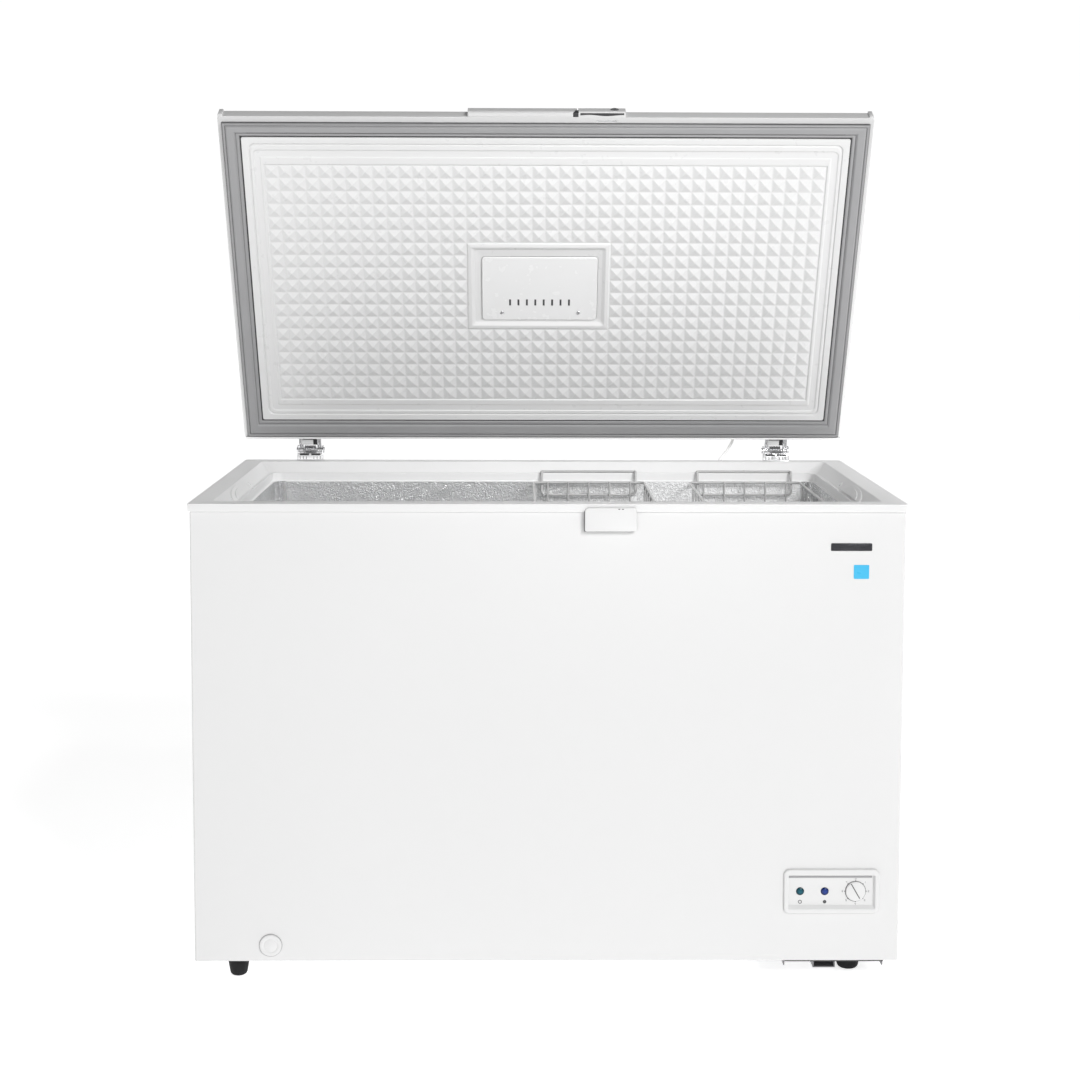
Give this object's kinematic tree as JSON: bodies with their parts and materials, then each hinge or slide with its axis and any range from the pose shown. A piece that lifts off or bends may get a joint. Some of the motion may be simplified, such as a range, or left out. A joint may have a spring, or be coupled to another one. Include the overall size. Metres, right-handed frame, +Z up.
{
  "type": "chest freezer",
  "caption": "White chest freezer with an open counterbalanced lid, metal tub, hanging wire baskets, key lock and turn dial on a free-standing cabinet.",
  "frame": {"origin": "on the floor, under the middle of the whole freezer with its lid standing open", "axes": "+X to the right seen from the front, +Y towards the hinges at the back, +Z up"},
  "size_m": [1.127, 0.6987, 1.3995],
  "materials": {
    "white_steel": "gloss",
    "zinc_steel": "matte",
    "foam": "matte",
    "embossed_aluminium": "satin",
    "white_plastic": "satin",
    "aluminium_tube": "satin",
    "dark_steel_tube": "satin",
    "black_steel": "satin",
    "black_rubber": "matte",
    "grey_steel": "satin",
    "black_plastic": "matte",
    "copper": "satin",
    "grey_plastic": "matte",
    "green_lens": "gloss",
    "blue_lens": "gloss",
    "dial_plastic": "satin",
    "white_rubber": "matte",
    "dark_badge": "gloss",
    "blue_label": "satin",
    "bright_steel": "polished",
    "spring_steel": "satin",
    "coated_wire": "gloss",
    "white_cable": "satin",
    "lid_plastic": "satin",
    "grey_gasket": "satin",
    "magnet": "matte",
    "cover_plastic": "satin",
    "green_board": "satin"
  },
  "bodies": {
    "cabinet": {"outer_wrap": "white_steel", "back_panel": "white_steel", "base_pan": "zinc_steel", "foam_insulation": "foam", "inner_liner": "embossed_aluminium", "top_collar": "white_plastic", "evaporator_coil": "aluminium_tube", "condenser_coil": "dark_steel_tube", "compressor": "black_steel", "compressor_grommets": "black_rubber", "compressor_tray": "grey_steel", "start_relay": "black_plastic", "filter_drier": "copper", "refrigerant_lines": "copper", "thermostat_body": "grey_plastic", "thermostat_bulb": "copper", "control_bezel": "white_plastic", "power_lamp": "green_lens", "run_lamp": "blue_lens", "drain_tube": "grey_plastic", "feet": "black_plastic", "side_vent": "grey_plastic", "compressor_cover": "zinc_steel", "cord_gland": "black_rubber", "lead_grommet": "white_rubber", "lock_strike": "white_plastic", "nameplate": "dark_badge", "info_label": "blue_label", "cabinet_screws": "bright_steel", "hinge_bracket_left": "bright_steel", "hinge_bracket_right": "bright_steel", "hinge_pin_left": "bright_steel", "hinge_pin_right": "bright_steel", "hinge_spring_left": "spring_steel", "hinge_spring_right": "spring_steel", "lamp_lead": "white_cable"},
    "lid": {"lid_skin": "white_steel", "lid_foam": "foam", "lid_panel": "lid_plastic", "lid_gasket": "grey_gasket", "gasket_magnets": "magnet", "leaf_screws": "bright_steel", "lamp_housing": "lid_plastic", "lamp_cover": "cover_plastic", "lamp_board": "green_board", "tilt_switch": "bright_steel", "lamp_screws": "bright_steel", "lid_handle": "white_plastic", "lock_housing": "white_plastic", "hinge_leaf_left": "bright_steel", "hinge_leaf_right": "bright_steel"},
    "lock": {"lock_cylinder": "bright_steel", "lock_cam": "bright_steel"},
    "dial": {"thermostat_dial": "dial_plastic"},
    "drain_cap": {"drain_cap": "white_plastic"},
    "drain_plug": {"drain_plug": "black_rubber"},
    "basket_left": {"basket_left": "coated_wire"},
    "basket_right": {"basket_right": "coated_wire"}
  },
  "joints": [
    {"name": "lid_hinge", "type": "hinge", "parent": "cabinet", "child": "lid", "pos_m": [0, 0.3154, 0.777], "axis": [-1, 0, 0], "range_deg": [-64, 16], "deforming": ["lamp_lead"]},
    {"name": "lock_turn", "type": "hinge", "parent": "lid", "child": "lock", "pos_m": [0.117, 0.02472, 1.38668], "axis": [0, -0.4384, 0.8988], "range_deg": [0, 90]},
    {"name": "dial_turn", "type": "hinge", "parent": "cabinet", "child": "dial", "pos_m": [0.4864, -0.3478, 0.1473], "axis": [0, 1, 0], "range_deg": [-127.5, 187.5]},
    {"name": "basket_left_slide", "type": "slide", "parent": "cabinet", "child": "basket_left", "axis": [1, 0, 0], "range_m": [-0.455, 0.038]},
    {"name": "basket_right_slide", "type": "slide", "parent": "cabinet", "child": "basket_right", "axis": [1, 0, 0], "range_m": [-0.038, 0.014]},
    {"name": "drain_cap_pull", "type": "slide", "parent": "cabinet", "child": "drain_cap", "axis": [0, -1, 0], "range_m": [0, 0.03]},
    {"name": "drain_plug_lift", "type": "slide", "parent": "cabinet", "child": "drain_plug", "axis": [0, 0, 1], "range_m": [0, 0.03]}
  ]
}
